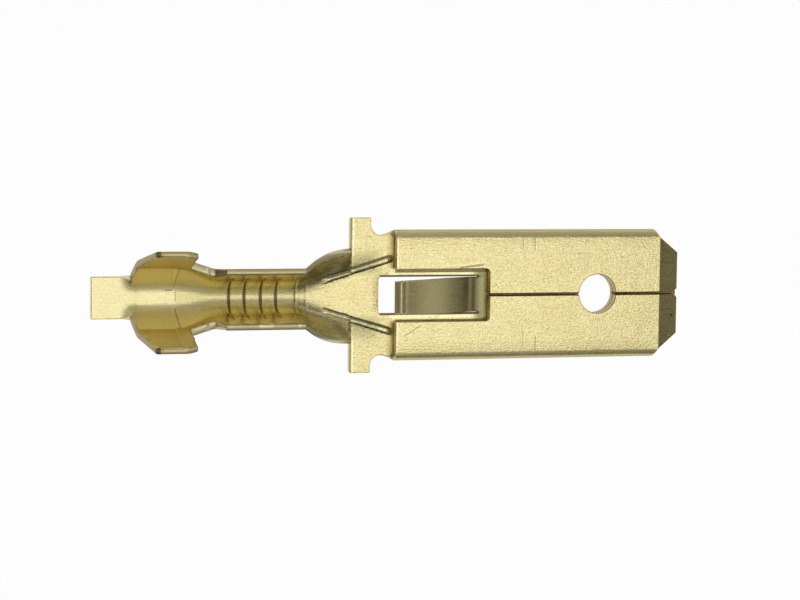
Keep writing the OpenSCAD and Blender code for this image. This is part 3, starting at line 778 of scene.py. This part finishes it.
def darkLines(at):  # shadows of cuts, grooves and folds
    # painted shade in the serration grooves, joined with the dark tool marks
    teeth = None
    for mark in relief["serrations"]:
        here = (at.x - mark).near(*lines["serration"])
        teeth = here if teeth is None else teeth + here
    teeth = teeth * at.side.fall(*fades["serrationAcross"]) * 0.85
    grooveShadeAndMarks = teeth.math("MAXIMUM", teeth, dashes(at, "dark")) * at.onCrimp
    # darker rim where the wire barrel's wings end and darker spots at the top corners of the insulation wings
    wingEnd = at.rim * at.x.near(*lines["wingEnd"]) * at.s.step(*fades["wingEndAcross"])
    corners = at.x.near(*lines["cornerAlong"]) * at.side.near(*lines["cornerAcross"])
    # painted shade in the seam, on its walls and along the ears' rear edges
    ahead = at.x.step(*fades["seam"])
    seam = ahead * at.side.fall(*fades["seamAcross"]) * at.inside
    seamWall = ahead * at.side.step(*fades["seamWall"])
    earEdge = at.x.near(*lines["earEdge"]) * at.side.step(*fades["earAcross"]) * at.inside
    # painted shade along the slot's rear cut, broken up by the grain noise
    tornEdgeShade = at.x.near(*lines["tornEdgeShade"]) * at.side.fall(*fades["tornEdgeShadeAcross"]) * at.fine.step(*fades["tornEdgeShadeGrain"])
    # painted shade along the slot's edges, at the foot of the window's walls and along the sides of the ribs
    slot = at.side.near(*lines["slot"]) * at.x.between(*spans["slot"])
    foot = (at.s.near(*lines["footLeft"]) + at.s.near(*lines["footRight"])) * at.x.between(*spans["foot"])
    ribs = at.ribSide.near(*lines["ribOuter"]) * 0.75 + at.ribSide.near(*lines["ribInner"]) * 0.5
    found = grooveShadeAndMarks + wingEnd * 0.8 + corners * 0.9 + seam + seamWall * 0.8 + earEdge * 0.6
    return (found + (tornEdgeShade * 0.6 + slot + foot * 0.9) * at.inside + ribs * at.onRib).clamp()


def brassMaterial():
    material, make = emptyMaterial("brassStrip")
    at = stripPlaces(make)
    tone = (at.cloud * 0.2 + at.pebble * 0.4 + at.streak * 0.4).step(*fades["tone"])
    colour = tone.tint(brass["deep"], brass["pale"])
    layers = sheetTones(at) + barrelTones(at) + lanceTones(at) + bladeTones(at)
    layers.append((darkLines(at), "dark"))
    layers.append((dashes(at, "flapDark") * at.onFlap, "dark"))
    layers.append((dashes(at, "flapBright") * at.onFlap, "bright"))
    for mask, name in layers:
        colour = mask.tint(colour, brass[name])
    crimped = at.x.fall(*fades["crimped"])
    gripped = at.x.between(*spans["gripped"]) * at.side.step(*fades["grippedAcross"])
    rough = brass["rough"] + (at.streak - 0.5) * 0.2 + (at.fine - 0.5) * 0.2 + at.rim * 0.12 + at.hem * 0.25
    rough = rough + at.onLance * 0.12 + crimped * 0.09 + at.onBevel * 0.04 + gripped * 0.08
    smooth = 1 - (at.onLance * 0.8 + at.onBevel * 0.8 + crimped * 0.4).clamp(0.0, 0.9)
    height = (at.pebble + at.fine * 0.6 + at.streak * 0.7) * smooth
    bump = make.node("ShaderNodeBump", {}, {"Height": height, "Strength": 1.0, "Distance": brass["grainHigh"]})
    shader = make.node(
        "ShaderNodeBsdfPrincipled", {},
        {"Base Color": colour, "Roughness": rough.clamp(*brass["roughLimits"]), "Metallic": 1.0, "Normal": bump},
    )
    make.node("ShaderNodeOutputMaterial", {}, {"Surface": shader})
    return material


terminal = makeTerminal()
terminal.data.materials.append(brassMaterial())
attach(terminal, "root")
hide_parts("terminal")
print("terminal dressed")

studio = {
    "floorSize": 3.0, "floorDrop": 0.00002,  # m
    "floorColour": (0.86, 0.86, 0.86, 1), "white": 0.97, "world": (0.06, 0.06, 0.057, 1),
    "lampColour": (1.0, 0.995, 0.97),
    "lamps": (  # name, place (m), tilt (degrees about x and y), size (m), power (W)
        ("softbox", (-0.15, -0.025, 0.40), (0, 0), (0.80, 0.16), 0.35),
        ("ceiling", (-0.20, 0.04, 0.42), (0, 0), (0.84, 1.30), 1.30),
        ("lowWall", (0.60, 0.0, 0.36), (0, 60), (0.20, 1.40), 0.40),
        ("sideWall", (-0.05, 0.60, 0.28), (-65, 0), (1.10, 0.26), 0.42),
    ),
}


def floorMaterial():  # white to the camera and in reflections, a pale card to the light
    material, make = emptyMaterial("studioFloor")
    kinds = ("Is Camera Ray", "Is Glossy Ray", "Is Transmission Ray")
    camRay, glossRay, clearRay = [make.node("ShaderNodeLightPath", {}, {}, out=kind) for kind in kinds]
    seen = (camRay + glossRay + clearRay).clamp() * studio["white"]
    card = make.node("ShaderNodeBsdfDiffuse", {}, {"Color": studio["floorColour"]})
    glow = make.node("ShaderNodeEmission", {}, {"Color": (1, 1, 1, 1), "Strength": 1.0})
    shader = make.node("ShaderNodeMixShader", {}, {0: seen, 1: card, 2: glow})
    make.node("ShaderNodeOutputMaterial", {}, {"Surface": shader})
    return material


def buildStudio():
    board = bmesh.new()
    bmesh.ops.create_grid(board, x_segments=1, y_segments=1, size=studio["floorSize"] / 2)
    bmesh.ops.translate(board, vec=(0, 0, -studio["floorDrop"]), verts=board.verts[:])
    data = bpy.data.meshes.new("studioFloor")
    board.to_mesh(data)
    board.free()
    floor = bpy.data.objects.new("studioFloor", data)
    bpy.context.scene.collection.objects.link(floor)
    data.materials.append(floorMaterial())
    for name, place, tilt, size, power in studio["lamps"]:
        light = bpy.data.lights.new(name, "AREA")
        light.shape = "RECTANGLE"
        light.size, light.size_y = size
        light.energy, light.color = power, studio["lampColour"]
        lamp = bpy.data.objects.new(name, light)
        lamp.location = place
        lamp.rotation_euler = (radians(tilt[0]), radians(tilt[1]), 0)
        bpy.context.scene.collection.objects.link(lamp)
    world = bpy.data.worlds.new("studioAir")
    world.use_nodes = True
    world.node_tree.nodes["Background"].inputs["Color"].default_value = studio["world"]
    bpy.context.scene.world = world
    bpy.context.scene.view_settings.view_transform = "Standard"
    print("studio lit with", len(studio["lamps"]), "lamps")


buildStudio()
